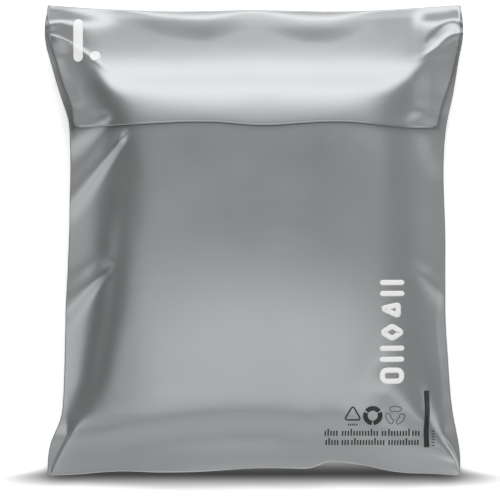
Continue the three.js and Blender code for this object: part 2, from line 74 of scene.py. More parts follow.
# How the front climbs from each edge to the crown, as soft steps: (share of the rise, middle, softness).
# Start is how far in the climb begins, and wing how much higher the film outside the first step lies.
# Reach shortens the climb along the side, so that the hips of the pillow run out to the corners.
# Softer makes the steps gentler, and blunt keeps a short climb from turning into a cliff.
frontClimb = {
    "left": {
        "steps": [(0.8, 40, 11), (0.2, 100, 40)],
        "start": [
            (0, 1.8), (0.016, 3.6), (0.043, 7.4), (0.062, 9.6), (0.0855, 10.8), (0.1, 8.8),
            (0.12, 4.5), (0.14, 2.8), (0.165, 2.6), (0.2, 2), (0.3, 0), (1, 0),
        ],
        "wing": [
            (0, 0), (0.016, 0.8), (0.043, 3.5), (0.062, 6), (0.085, 9.2), (0.109, 9.6), (0.136, 7.8),
            (0.166, 6), (0.2, 4.5), (0.3, 3), (0.4, 1.5), (0.5, 0), (0.6, 0), (1, 0),
        ],
        "blunt": [(0, 1), (0.1, 1.2), (0.2, 1.1), (0.3, 0.6), (0.4, 0), (0.5, 0), (1, 0)],
        "reach": [
            (0, 0.05), (0.05, 0.05), (0.085, 0.06), (0.1, 0.1), (0.12, 0.18), (0.14, 0.3),
            (0.165, 0.42), (0.2, 0.57), (0.25, 0.68), (0.29, 0.77), (0.375, 0.92), (0.5, 1.02),
            (0.65, 1.16), (0.74, 1.1), (0.78, 1.06), (0.82, 1.03), (0.85, 1.08), (0.875, 1.09),
            (0.9, 0.92), (0.923, 0.7), (0.945, 0.44), (0.97, 0.24), (1, 0.12),
        ],
    },
    "right": {
        "steps": [(0.8, 36, 12), (0.2, 95, 38)],
        "start": [
            (0, 0), (0.037, 2.1), (0.062, 4.9), (0.083, 8.2), (0.1045, 10.6), (0.125, 10.4), (0.15, 8),
            (0.19, 6), (0.24, 7), (0.35, 7), (0.45, 3), (0.55, 0), (0.7, 0), (1, 0),
        ],
        "wing": [
            (0, 0), (0.037, 3), (0.062, 5.5), (0.083, 7.5), (0.1045, 8.5), (0.125, 8), (0.15, 6.5),
            (0.2, 6.5), (0.3, 6.5), (0.4, 5), (0.5, 2), (0.6, 0), (1, 0),
        ],
        "blunt": [(0, 1), (0.1, 1), (0.2, 0.9), (0.3, 0.3), (0.4, 0), (0.5, 0), (1, 0)],
        "reach": [
            (0, 0.06), (0.04, 0.065), (0.06, 0.08), (0.08, 0.117), (0.1, 0.14), (0.12, 0.2),
            (0.142, 0.3), (0.17, 0.38), (0.2, 0.46), (0.29, 0.57), (0.375, 0.68), (0.5, 0.97),
            (0.65, 1.1), (0.72, 1.22), (0.76, 1.28), (0.79, 1.26), (0.82, 1.2), (0.85, 1.14),
            (0.885, 1.04), (0.904, 0.88), (0.93, 0.56), (0.96, 0.26), (1, 0.12),
        ],
        "softer": [
            (0, 1), (0.15, 1), (0.22, 1.3), (0.3, 1.35), (0.42, 1.35), (0.55, 1.05), (0.65, 1), (1, 1),
        ],
    },
    "bottom": {
        "steps": [(0.28, 8, 14), (0.62, 40, 13), (0.1, 100, 40)],
        "reach": [
            (0, 0.5), (0.05, 0.74), (0.11, 0.76), (0.2, 0.8), (0.35, 0.95), (0.5, 0.96), (0.6, 0.9),
            (0.74, 0.7), (0.8, 0.6), (0.84, 0.53), (0.88, 0.48), (0.93, 0.43), (1, 0.3),
        ],
    },
    "top": {
        "steps": [(0.03, 30, 14), (0.69, 60, 17), (0.19, 93, 20), (0.09, 165, 45)],
    },
}
# The same for the back, as far as the floor lets it
backClimb = {
    "left": {"steps": [(1, 40, 12)], "reach": [(0, 0.15), (0.2, 0.7), (0.5, 1), (0.8, 1), (1, 0.2)]},
    "right": {"steps": [(1, 40, 12)], "reach": [(0, 0.15), (0.2, 0.7), (0.5, 1), (0.8, 1), (1, 0.2)]},
    "bottom": {"steps": [(1, 44, 14)], "reach": [(0, 0.1), (0.15, 0.9), (0.5, 1), (0.85, 0.9), (1, 0.1)]},
    "top": {"steps": [(1, 44, 14)], "reach": [(0, 0.2), (0.2, 0.9), (0.5, 1), (0.8, 0.9), (1, 0.2)]},
}

# Height of each edge above the floor
edgeHeight = {
    "left": [(0, 5), (0.12, 9), (0.3, 19), (0.55, 23), (0.8, 22), (1, 15)],
    "right": [(0, 5), (0.12, 9), (0.3, 20), (0.55, 24), (0.8, 22), (1, 15)],
    "bottom": [
        (0, 5), (0.04, 5.6), (0.1, 9), (0.2, 15.5), (0.5, 21), (0.69, 22), (0.82, 17), (0.92, 11),
        (0.97, 7.5), (1, 5),
    ],
    "top": [(0, 15), (0.2, 20), (0.5, 22), (0.8, 20), (1, 15)],
}

# Both top corners stand up: the bag steps up from the fold there and runs level to the hip
cornerLift = {
    "height": 6.5,
    "middle": 9,  # how far in from the fold the step is, and how soft
    "softness": 6,
    "fadeFrom": 40,  # the lift dies out again over this stretch below the fold
    "fadeTo": 150,
    "share": [
        (0, 1), (0.06, 1), (0.1, 0.85), (0.165, 0.15), (0.22, 0), (0.8, 0), (0.865, 0), (0.885, 0.2),
        (0.91, 0.85), (0.94, 1), (1, 1),
    ],
}

# The soft roll in which the film swells before it turns over the top fold
topRoll = {
    "swell": 1.9,  # each way, where it is full
    "width": 8,
    "settle": 12,  # past its width it settles over its width once more and this much
    "settled": 0.5,  # share of the swelling that is lost there
    "weldClearance": 14,  # it dies out over this stretch beside the welds
    "leastFullness": 0.05,  # for its width only
    "fullness": [
        (0, 0.1), (0.1, 0.1), (0.16, 0.02), (0.2, 0.02), (0.25, 0.4), (0.32, 0.75), (0.38, 0.9),
        (0.45, 0.5), (0.5, 0.3), (0.56, 0.6), (0.62, 0.95), (0.68, 0.95), (0.74, 0.5), (0.78, 0.1),
        (0.82, 0.02), (0.9, 0.02), (1, 0.1),
    ],
}

# The closing flap: the back film turned over the top fold and glued down
flap = {
    "depth": 103,  # flat top edge to the free edge, before its rise
    "thickness": 0.25,
    "foldLift": 0.12,  # over the film at the fold and down the back
    "lift": 0.4,  # over the film where it is glued
    "loose": 0.6,  # more lift at the free edge
    "looseDepth": 24,  # how far in from its free edges that goes
    "corner": 6,  # radius of its two free corners
    "cells": (250, 90),
    "crowding": 0.85,  # below 1 its rows crowd towards the fold
    "foldTurns": (0.25, 0.5, 0.75),  # rows round the fold, as shares of the half turn
    "backRows": (0, 0.7, 2, 5),  # rows down the back, by their distance from the fold
    # how far the free edge rises from there, and how far in from the bag's sides the flap's own lie
    "freeEdgeRise": [
        (0, -0.6), (0.07, -0.8), (0.106, -0.6), (0.16, 0.4), (0.25, 1.6), (0.35, 2.9), (0.43, 2.2),
        (0.51, 0), (0.6, 1.4), (0.69, 3), (0.73, 2.7), (0.8, 0.7), (0.85, -0.6), (0.93, -1.3),
        (1, -1.3),
    ],
    "leftIn": [
        (0.7, 3), (0.742, 3.2), (0.76, 4.6), (0.79, 5.9), (0.84, 4.6), (0.9, 4.2), (0.95, 2.5),
        (1, 0.6),
    ],
    "rightIn": [
        (0.7, 6.8), (0.742, 6.7), (0.79, 6.4), (0.825, 4.2), (0.87, 2.1), (0.92, 1.7), (0.95, 1),
        (1, 0.4),
    ],
}

# Folds pulled into the film. The path's points are (share of the side, millimetres in from it).
# Wide and narrow are the half widths at the path's start and end, and lean is how many times wider
# the slope on the path's left is. Fade is the share of the path over which its end dies out.
folds = [
    {
        "side": "left", "path": [(0.59, 2), (0.667, 27), (0.729, 48)],
        "height": 3.2, "wide": 8, "narrow": 3.5, "lean": 1.8,
    },
    {
        "side": "left", "path": [(0.355, 0), (0.415, 22), (0.452, 40)],
        "height": 3.4, "wide": 9, "narrow": 3.6, "lean": 1.8,
    },
    {
        "side": "left", "path": [(0.712, 2), (0.768, 38)],
        "height": 1.3, "wide": 8, "narrow": 4, "lean": 1.6,
    },
    {
        "side": "left", "path": [(0.935, 0), (0.92, 17), (0.888, 34), (0.852, 48)],
        "height": 0.7, "wide": 1.7, "narrow": 2.2, "lean": 1, "fade": 0.5,
    },
    {
        "side": "left", "path": [(0.953, 0), (0.966, 11), (0.962, 22), (0.945, 36)],
        "height": 2.2, "wide": 5.5, "narrow": 8, "lean": 1.8, "fade": 0.7,
    },
    {
        "side": "left", "path": [(0.885, 12), (0.84, 14), (0.8, 13), (0.77, 9)],
        "height": -3.3, "wide": 8, "narrow": 8, "lean": 2, "fade": 0.5,
    },
    {
        "side": "left", "path": [(0.93, 0), (0.72, 0)],
        "height": -2.2, "wide": 7, "narrow": 4, "lean": 1,
    },
    {
        "side": "right", "path": [(0.94, 0), (0.932, 12), (0.904, 22.7), (0.879, 36)],
        "height": 0.7, "wide": 1.7, "narrow": 2.2, "lean": 1, "fade": 0.5,
    },
    {
        "side": "right", "path": [(0.955, 3.5), (0.959, 8.7), (0.947, 18.8), (0.909, 30.5)],
        "height": -1, "wide": 2.4, "narrow": 2.6, "lean": 3, "fade": 0.4,
    },
    {
        "side": "right", "path": [(0.77, 9), (0.83, 10), (0.88, 9)],
        "height": -2, "wide": 12, "narrow": 10, "lean": 1.8, "fade": 0.8,
    },
    {
        "side": "right", "path": [(0.39, 2), (0.455, 29)],
        "height": 1.5, "wide": 8, "narrow": 6, "lean": 1, "fade": 0.55,
    },
    {
        "side": "right", "path": [(0.195, 50), (0.168, 39), (0.136, 30), (0.12, 23), (0.1, 14)],
        "height": 4.4, "wide": 17, "narrow": 9, "lean": 1, "fade": 0.35,
    },
    {
        "side": "right", "path": [(0.67, 5), (0.77, 30)],
        "height": 0.9, "wide": 12, "narrow": 9, "lean": 1,
    },
    {
        "side": "bottom", "path": [(0.652, 0), (0.656, 12)],
        "height": 0.25, "wide": 3, "narrow": 2, "lean": 1,
    },
]


def smoothCurve(points):
    # a natural spline through (place, value) points, held level beyond its ends
    places, values = (np.array(column, float) for column in zip(*points))
    spans = np.diff(places)
    system = np.eye(len(places))
    bends = np.zeros(len(places))
    for i in range(1, len(places) - 1):
        system[i, i - 1:i + 2] = spans[i - 1], 2 * (spans[i - 1] + spans[i]), spans[i]
        bends[i] = 6 * ((values[i + 1] - values[i]) / spans[i] - (values[i] - values[i - 1]) / spans[i - 1])
    bends = np.linalg.solve(system, bends)

    def curve(place):
        p = np.clip(place, places[0], places[-1])
        i = np.clip(np.searchsorted(places, p, side="right") - 1, 0, len(places) - 2)
        span = spans[i]
        after = (p - places[i]) / span
        before = 1 - after
        bow = (before ** 3 - before) * bends[i] + (after ** 3 - after) * bends[i + 1]
        return before * values[i] + after * values[i + 1] + bow * span ** 2 / 6

    return curve


def softStep(inward, middle, softness):
    # climbs from 0 at the edge to 1 far inside
    start = np.tanh(middle / softness)
    return (np.tanh((inward - middle) / softness) + start) / (1 + start)


climbing = {
    "leastReach": 0.3,  # the steps after the first keep at least this reach
    "fullSoftness": 0.55,  # below this reach the steps turn sharper
    "mostSofter": 1.25,  # from a reach of 1 up to this one they turn gentler
    "power": 2.5,  # how fast they do both
    "leastShare": 0.001,  # keeps the sum over the sides finite at an edge
}


def sideClimb(way):
    # the climb from one side, step by step, by the way in and the share along the side
    def table(name, usual):
        return smoothCurve(way.get(name, [(0, usual), (1, usual)]))

    reachAt, softerAt = table("reach", 1), table("softer", 1)
    startAt, bluntAt = table("start", 0), table("blunt", 0)

    def curve(inward, along):
        inward = np.maximum(inward - startAt(along), 0)
        reach = reachAt(along)
        parts = []
        for share, middle, softness in way["steps"]:
            turn = middle * (np.maximum(reach, climbing["leastReach"]) if parts else reach)
            sharper = np.minimum(reach / climbing["fullSoftness"], 1) ** climbing["power"]
            gentler = np.clip(reach, 1, climbing["mostSofter"]) ** climbing["power"]
            ease = softness * softerAt(along) * sharper * gentler
            ease = np.maximum(ease, bluntAt(along) * turn * (1 - np.minimum(reach, 1)))
            parts.append((share, softStep(inward, turn, ease)))
        return parts

    return curve


def smoothStep(value, low, high):
    t = np.clip((value - low) / (high - low), 0, 1)
    return t * t * (3 - 2 * t)


def mix(a, b, t):
    return a + (b - a) * t


drawIn = {side: smoothCurve(points) for side, points in drawnIn.items()}
rollFull = smoothCurve(topRoll["fullness"])
liftShare = smoothCurve(cornerLift["share"])
heightOf = {side: smoothCurve(points) for side, points in edgeHeight.items()}
frontCurve = {side: sideClimb(way) for side, way in frontClimb.items()}
backCurve = {side: sideClimb(way) for side, way in backClimb.items()}
wingLift = {side: smoothCurve(frontClimb[side]["wing"]) for side in ("left", "right")}


def leftEdge(y):
    return -bag["width"] / 2 + drawIn["left"](y / bag["length"] + 0.5)


def rightEdge(y):
    return bag["width"] / 2 - drawIn["right"](y / bag["length"] + 0.5)


def bottomEdge(x):
    return -bag["length"] / 2 + drawIn["bottom"](x / bag["width"] + 0.5)


def topEdge(x):
    return bag["length"] / 2 - drawIn["top"](x / bag["width"] + 0.5)


def insetFrom(x, y):
    # how far in a place lies from each edge
    return {
        "left": np.maximum(x - leftEdge(y), 0),
        "right": np.maximum(rightEdge(y) - x, 0),
        "bottom": np.maximum(y - bottomEdge(x), 0),
        "top": np.maximum(topEdge(x) - y, 0),
    }


def climb(x, y, inset, curves):
    # share of the full rise; the lowest side counts most, which leaves a soft hip between two sides
    along = {"left": y / bag["length"] + 0.5, "bottom": x / bag["width"] + 0.5}
    along["right"], along["top"] = along["left"], along["bottom"]
    total = 1 - len(curves)
    for side, curve in curves.items():
        way = sum(share * part for share, part in curve(inset[side], along[side]))
        total = total + np.maximum(way, climbing["leastShare"]) ** -bag["hip"]
    return total ** (-1 / bag["hip"])


def fromSide(side, share, inward):
    # the place at a share of the left, right or bottom side and this far in from it
    x = (share - 0.5) * bag["width"]
    y = (share - 0.5) * bag["length"]
    if side == "left":
        return float(leftEdge(y)) + inward, y
    if side == "right":
        return float(rightEdge(y)) - inward, y
    return x, float(bottomEdge(x)) + inward


flapRise = smoothCurve(flap["freeEdgeRise"])
flapLeftIn = smoothCurve(flap["leftIn"])
flapRightIn = smoothCurve(flap["rightIn"])


def flapFreeEdge(x):
    return bag["length"] / 2 - flap["depth"] + flapRise(x / bag["width"] + 0.5)


def flapLeft(y):
    return leftEdge(y) + flapLeftIn(y / bag["length"] + 0.5)


def flapRight(y):
    return rightEdge(y) - flapRightIn(y / bag["length"] + 0.5)


def insideFlap(x, y):
    # how far inside the flap's loose edges a place lies, below 0 outside
    return np.minimum.reduce([y - flapFreeEdge(x), x - flapLeft(y), flapRight(y) - x])


ridgeForm = {
    "stretches": 12,  # straight stretches between two points of a curved path
    "fade": 0.22,  # where the fold gives none
    "end": 1.06,  # share of the path at which the ridge has died out
    "runIn": 0.5,  # share of the path over which it comes up before the start
    "backCarry": 18,  # how far in from the edges the back film is lifted with it
}


def ridge(x, y, fold):
    # height of one fold: a rounded ridge along its path that dies out at both ends
    points = np.array([fromSide(fold["side"], *point) for point in fold["path"]])
    steps = ridgeForm["stretches"] if len(points) > 2 else 1
    knots = np.linspace(0, 1, len(points))
    fine = np.linspace(0, 1, (len(points) - 1) * steps + 1)
    line = np.column_stack([smoothCurve(list(zip(knots, points[:, k])))(fine) for k in (0, 1)])
    lengths = np.hypot(*(line[1:] - line[:-1]).T)
    total = lengths.sum()
    nearest = np.full(x.shape, np.inf)
    along = np.zeros(x.shape)
    across = np.zeros(x.shape)
    done = 0
    for n, length in enumerate(lengths):
        (ax, ay), (bx, by) = line[n], line[n + 1]
        ux, uy = (bx - ax) / length, (by - ay) / length
        t = (x - ax) * ux + (y - ay) * uy
        low = -np.inf if n == 0 else 0
        high = np.inf if n == len(lengths) - 1 else length
        held = np.clip(t, low, high)
        gap = np.hypot(x - ax - held * ux, y - ay - held * uy)
        closer = gap < nearest
        nearest = np.where(closer, gap, nearest)
        along = np.where(closer, (done + held) / total, along)
        across = np.where(closer, ux * (y - ay) - uy * (x - ax), across)
        done += length
    half = mix(fold["wide"], fold["narrow"], np.clip(along, 0, 1))
    half = np.where(across > 0, half * fold["lean"], half)
    ends = smoothStep(ridgeForm["end"] - along, 0, fold.get("fade", ridgeForm["fade"]))
    ends = ends * smoothStep(along + ridgeForm["runIn"], 0, ridgeForm["runIn"])
    return fold["height"] * ends * np.exp(-((nearest / half) ** 2))


def foldHeight(x, y):
    return sum(ridge(x, y, fold) for fold in folds)


def middleHeight(x, y):
    # the sheet between the two films, set by the edges around it
    left, right = leftEdge(y), rightEdge(y)
    bottom, top = bottomEdge(x), topEdge(x)
    u = (x - left) / (right - left)
    v = (y - bottom) / (top - bottom)
    acrossEdges = mix(heightOf["left"](v), heightOf["right"](v), u)
    alongEdges = mix(heightOf["bottom"](u), heightOf["top"](u), v)
    low = mix(heightOf["left"](0), heightOf["right"](0), u)
    high = mix(heightOf["left"](1), heightOf["right"](1), u)
    return acrossEdges + alongEdges - mix(low, high, v)


def liftHeight(x, inset):
    # how much higher the film lies at the two top corners
    step = softStep(inset["top"], cornerLift["middle"], cornerLift["softness"])
    fade = 1 - smoothStep(inset["top"], cornerLift["fadeFrom"], cornerLift["fadeTo"])
    return cornerLift["height"] * np.clip(liftShare(x / bag["width"] + 0.5), 0, 1) * step * fade


def wingHeight(y, inset):
    # the flat film outside the first step lies higher near the lower corners
    along = y / bag["length"] + 0.5
    total = 0
    for side, lift in wingLift.items():
        (_, first), *_ = frontCurve[side](inset[side], along)
        total = total + lift(along) * (1 - first)
    return total


def rollHeight(x, inset):
    # how far the roll along the top fold swells each way
    full = rollFull(x / bag["width"] + 0.5)
    width = topRoll["width"] * np.maximum(full, topRoll["leastFullness"])
    outside = 1 - np.clip(inset["top"] / width, 0, 1)
    settling = smoothStep(inset["top"], width, 2 * width + topRoll["settle"])
    clearOfWelds = smoothStep(np.minimum(inset["left"], inset["right"]), 0, topRoll["weldClearance"])
    return topRoll["swell"] * full * clearOfWelds * (1 - outside ** 2) * (1 - topRoll["settled"] * settling)


def easeOntoFloor(z):
    # heights under the floor end on it, with a soft turn
    ease = bag["floorEase"]
    return np.where(z >= ease, z, np.where(z <= -ease, 0, (z + ease) ** 2 / (4 * ease)))


def filmHeights(x, y):
    # heights of the front and the back film
    inset = insetFrom(x, y)
    middle = middleHeight(x, y) + liftHeight(x, inset) + wingHeight(y, inset)
    fold = foldHeight(x, y)
    nearest = np.minimum.reduce(list(inset.values()))
    carried = fold * np.exp(-((nearest / ridgeForm["backCarry"]) ** 2))
    half = bag["weld"] / 2 + rollHeight(x, inset)
    drop = bag["backDrop"] * climb(x, y, inset, backCurve)
    back = easeOntoFloor(middle + carried - half - drop)
    front = middle + fold + half + bag["frontRise"] * climb(x, y, inset, frontCurve)
    return np.maximum(front, back + 2 * half), back


def flapTop(x, y, front):
    # the flap's own face: glued down, with a little more air under its free edges
    fromFold = smoothStep(topEdge(x) - y, 0, topRoll["width"])
    loose = (1 - smoothStep(insideFlap(x, y), 0, flap["looseDepth"])) * fromFold
    return front + mix(flap["foldLift"], flap["lift"], fromFold) + flap["loose"] * loose


def outerHeight(x, y):
    # height of whatever faces up at a place: the flap inside its outline, the bag's front beside it
    front, _ = filmHeights(x, y)
    return np.where(insideFlap(x, y) > 0, flapTop(x, y, front), front)


placeRounds = 6  # x and y depend on each other, so they are worked out in turn this many times


def planPlace(u, v):
    # grid place to plan place: the four edges are where u or v is 0 or 1
    x = (u - 0.5) * bag["width"]
    y = (v - 0.5) * bag["length"]
    for _ in range(placeRounds):
        x = mix(leftEdge(y), rightEdge(y), u)
        y = mix(bottomEdge(x), topEdge(x), v)
    return x, y


def makePiece(name, points, faces, material):
    # a mesh in metres from points in millimetres
    mesh = bpy.data.meshes.new(name)
    mesh.from_pydata((np.asarray(points) * mm).tolist(), [], faces)
    mesh.update()
    mesh.materials.append(material)
    mesh.shade_smooth()
    piece = bpy.data.objects.new(name, mesh)
    bpy.context.scene.collection.objects.link(piece)
    return piece


def thicken(piece, thickness):
    # gives a sheet its wall, down from its upper face
    bpy.ops.object.select_all(action="DESELECT")
    piece.select_set(True)
    bpy.context.view_layer.objects.active = piece
    wall = piece.modifiers.new("wall", "SOLIDIFY")
    wall.thickness = thickness * mm
    wall.offset = -1
    bpy.ops.object.modifier_apply(modifier="wall")


class Wire:
    # a socket that takes Python's own arithmetic
    def __init__(self, shader, socket):
        self.shader = shader
        self.socket = socket

    def maths(self, operation, first, second):
        return self.shader.maths(operation, first, second)

    def __add__(self, other):
        return self.maths("ADD", self, other)

    def __radd__(self, other):
        return self.maths("ADD", other, self)

    def __sub__(self, other):
        return self.maths("SUBTRACT", self, other)

    def __rsub__(self, other):
        return self.maths("SUBTRACT", other, self)

    def __mul__(self, other):
        return self.maths("MULTIPLY", self, other)

    def __rmul__(self, other):
        return self.maths("MULTIPLY", other, self)


class Shader:
    # a material or world whose nodes are added one by one
    def __init__(self, owner):
        self.owner = owner
        owner.use_nodes = True
        self.tree = owner.node_tree
        self.tree.nodes.clear()

    def maths(self, operation, *terms):
        return self.node("Math", {"operation": operation}, dict(enumerate(terms)))

    def maximum(self, first, second):
        return self.maths("MAXIMUM", first, second)

    def absolute(self, value):
        return self.maths("ABSOLUTE", value)

    def node(self, kind, settings=None, sockets=None, output=0):
        # adds one node and gives the wire of one of its outputs
        made = self.tree.nodes.new("ShaderNode" + kind)
        for name, value in (settings or {}).items():
            setattr(made, name, value)
        for name, value in (sockets or {}).items():
            if isinstance(value, Wire):
                self.tree.links.new(value.socket, made.inputs[name])
            else:
                made.inputs[name].default_value = value
        return Wire(self, made.outputs[output]) if made.outputs else None


greyFilm = {
    "colour": (0.365, 0.379, 0.387, 1),
    "paleColour": (0.386, 0.398, 0.404, 1),
    "unevenness": 0.08,  # of the roughness, in faint clouds
    "cloudScale": 26,
    "slackScale": 34,
    "slackDepth": 0.16,  # millimetres of slack left in the film
    "grainScale": 1600,
    "grainStrength": 0.15,
    "grainDepth": 0.1,
    "metallic": 0.9,
    "roughness": 0.36,
    "paintedShade": 0.45,  # painted shade: how much darker the film's colour is made right beside the flap, where the flap would shade it
    "paintedShadeReach": 3.2,
    "paintedShadeEnd": 10,  # there is none closer to the flat top edge than this
}


def filmMaterial():
    # satin metallic grey with faint clouds, slack film and a fine grain, and a painted shade beside the
    # flap
    shader = Shader(bpy.data.materials.new("grey_film"))
    place = shader.node("TexCoord", output=3)
    grain = shader.node("TexNoise", {}, {"Vector": place, "Scale": greyFilm["grainScale"], "Detail": 2})
    cloudy = shader.node("TexNoise", {}, {"Vector": place, "Scale": greyFilm["cloudScale"], "Detail": 3})
    slack = shader.node("TexNoise", {}, {"Vector": place, "Scale": greyFilm["slackScale"], "Detail": 2})
    soft = shader.node("Bump", {}, {
        "Height": slack, "Strength": 1, "Distance": greyFilm["slackDepth"] * mm,
    })
    bump = shader.node("Bump", {}, {
        "Height": grain, "Strength": greyFilm["grainStrength"], "Distance": greyFilm["grainDepth"] * mm,
        "Normal": soft,
    })
    # painted shade: the film's colour darkens beside the flap's loose edges, where the flap would shade it
    paintedShade = shader.node("Attribute", {"attribute_name": "paintedShade"}, output=2)
    streaked = shader.node("Mix", {"data_type": "RGBA"}, {
        0: cloudy, 6: greyFilm["colour"], 7: greyFilm["paleColour"],
    }, output=2)
    colour = shader.node("Mix", {"data_type": "RGBA"}, {
        0: paintedShade * greyFilm["paintedShade"], 6: streaked, 7: (0, 0, 0, 1),
    }, output=2)
    surface = shader.node("BsdfPrincipled", {}, {
        "Base Color": colour, "Metallic": greyFilm["metallic"],
        "Roughness": cloudy * greyFilm["unevenness"] + (greyFilm["roughness"] - greyFilm["unevenness"] / 2),
        "Normal": bump,
    })
    shader.node("OutputMaterial", {}, {"Surface": surface})
    return shader.owner


def crowd(t):
    # shifts the lines of an even grid towards its edges
    return t - bag["crowding"] * np.sin(2 * np.pi * t) / (2 * np.pi)


def bagFaces(across, along):
    # the faces of the front, the back and the rim, and the outline that the rim runs round
    count = (across + 1) * (along + 1)

    def index(i, j):
        return j * (across + 1) + i

    outline = [index(i, 0) for i in range(across)] + [index(across, j) for j in range(along)]
    outline += [index(i, along) for i in range(across, 0, -1)] + [index(0, j) for j in range(along, 0, -1)]
    faces = []
    for j in range(along):
        for i in range(across):
            faces.append((index(i, j), index(i + 1, j), index(i + 1, j + 1), index(i, j + 1)))
    # the back's cells are twice as large, with the rim's finer points along the edges
    for j in range(0, along, 2):
        for i in range(0, across, 2):
            ring = [index(i, j)]
            if j == 0:
                ring.append(index(i + 1, j))
            ring.append(index(i + 2, j))
            if i + 2 == across:
                ring.append(index(i + 2, j + 1))
            ring.append(index(i + 2, j + 2))
            if j + 2 == along:
                ring.append(index(i + 1, j + 2))
            ring.append(index(i, j + 2))
            if i == 0:
                ring.append(index(i, j + 1))
            faces.append(tuple(count + k for k in reversed(ring)))
    for n, k in enumerate(outline):
        m = (n + 1) % len(outline)
        following = outline[m]
        faces.append((k, 2 * count + n, 2 * count + m, following))
        faces.append((2 * count + n, k + count, following + count, 2 * count + m))
    return faces, np.array(outline)


def makeBag(material):
    # front, back and a rim round the welds, in one closed mesh
    across, along = bag["cells"]
    u, v = np.meshgrid(crowd(np.arange(across + 1) / across), crowd(np.arange(along + 1) / along))
    x, y = planPlace(u.ravel(), v.ravel())
    front, back = filmHeights(x, y)
    faces, outline = bagFaces(across, along)
    runX = x[np.roll(outline, -1)] - x[np.roll(outline, 1)]
    runY = y[np.roll(outline, -1)] - y[np.roll(outline, 1)]
    length = np.hypot(runX, runY)
    upper, lower = front[outline], back[outline]
    out = 0.5 * (upper - lower)  # how far the rim's middle row stands out
    rim = np.column_stack([
        x[outline] + out * runY / length, y[outline] - out * runX / length, (upper + lower) / 2,
    ])
    points = np.vstack([np.column_stack([x, y, front]), np.column_stack([x, y, back]), rim])
    # the back's finer points that no face uses are dropped
    used = np.zeros(len(points), bool)
    for face in faces:
        used[list(face)] = True
    renumber = np.cumsum(used) - 1
    faces = [tuple(int(renumber[k]) for k in face) for face in faces]
    piece = makePiece("film_bag", points[used], faces, material)
    # painted shade beside the flap's loose edges, dying out over a few millimetres and kept away from the
    # flat top edge
    beside = np.clip(-insideFlap(points[used, 0], points[used, 1]), 0, None)
    belowEnd = points[used, 1] < bag["length"] / 2 - greyFilm["paintedShadeEnd"]
    paintedShade = piece.data.attributes.new("paintedShade", "FLOAT", "POINT")
    paintedShade.data.foreach_set("value", np.exp(-beside / greyFilm["paintedShadeReach"]) * belowEnd)
    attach(piece, "root")
    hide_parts("mailer_bag")


def makeFlap(material):
    # a thin sheet over the front, from its free edge to the fold and round it
    across, along = flap["cells"]
    u, v = np.meshgrid(np.arange(across + 1) / across, np.arange(along + 1) / along)
    u, v = u.ravel(), v.ravel()
    x = (u - 0.5) * bag["width"]
    y = bag["length"] / 2 - flap["depth"] * (1 - v)
    for _ in range(placeRounds):
        left, right = flapLeft(y), flapRight(y)
        x = mix(left, right, u)
        # the two free corners are rounded
        corner = np.maximum(flap["corner"] - np.minimum(x - left, right - x), 0)
        rounding = flap["corner"] - np.sqrt(flap["corner"] ** 2 - corner ** 2)
        y = mix(flapFreeEdge(x) + rounding, topEdge(x), v ** flap["crowding"])
    front, _ = filmHeights(x, y)
    z = flapTop(x, y, front)
    # the flap goes round the fold and a little way down the back
    rows = [(x, y, z)]
    top = slice(along * (across + 1), None)
    foldX = x[top]
    foldTop = topEdge(foldX)
    upper, lower = filmHeights(foldX, foldTop)
    middle, half = (upper + lower) / 2, (upper - lower) / 2 + flap["foldLift"]
    for turn in flap["foldTurns"]:
        out, up = half * math.sin(math.pi * turn), half * math.cos(math.pi * turn)
        rows.append((foldX, foldTop + out, middle + up))
    for inward in flap["backRows"]:
        _, lower = filmHeights(foldX, foldTop - inward)
        rows.append((foldX, foldTop - inward, lower - flap["foldLift"]))
    x, y, z = (np.concatenate(column) for column in zip(*rows))
    along += len(rows) - 1
    faces = []
    for j in range(along):
        for i in range(across):
            a = j * (across + 1) + i
            faces.append((a, a + 1, a + across + 2, a + across + 1))
    piece = makePiece("closing_flap", np.column_stack([x, y, z]), faces, material)
    thicken(piece, flap["thickness"])
    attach(piece, "root")
    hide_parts("mailer_bag")


inks = {
    "white": {"colour": (0.9, 0.9, 0.9, 1), "roughness": 0.5},
    "dark": {"colour": (0.02, 0.021, 0.023, 1), "roughness": 0.42},
    "patchScale": 900,
    "patchWear": 0.02,  # how much darker the patches are
    "patchRoughness": 0.1,  # how far the roughness varies
}


def inkMaterial(name, ink):
    # flat ink with a little unevenness from the printing
    shader = Shader(bpy.data.materials.new(name))
    place = shader.node("TexCoord", output=3)
    patches = shader.node("TexNoise", {}, {"Vector": place, "Scale": inks["patchScale"], "Detail": 3})
    worn = tuple(max(part - inks["patchWear"], 0) for part in ink["colour"][:3]) + (1,)
    colour = shader.node("Mix", {"data_type": "RGBA"}, {0: patches, 6: ink["colour"], 7: worn}, output=2)
    surface = shader.node("BsdfPrincipled", {}, {
        "Base Color": colour,
        "Roughness": patches * inks["patchRoughness"] + (ink["roughness"] - inks["patchRoughness"] / 2),
    })
    shader.node("OutputMaterial", {}, {"Surface": surface})
    return shader.owner


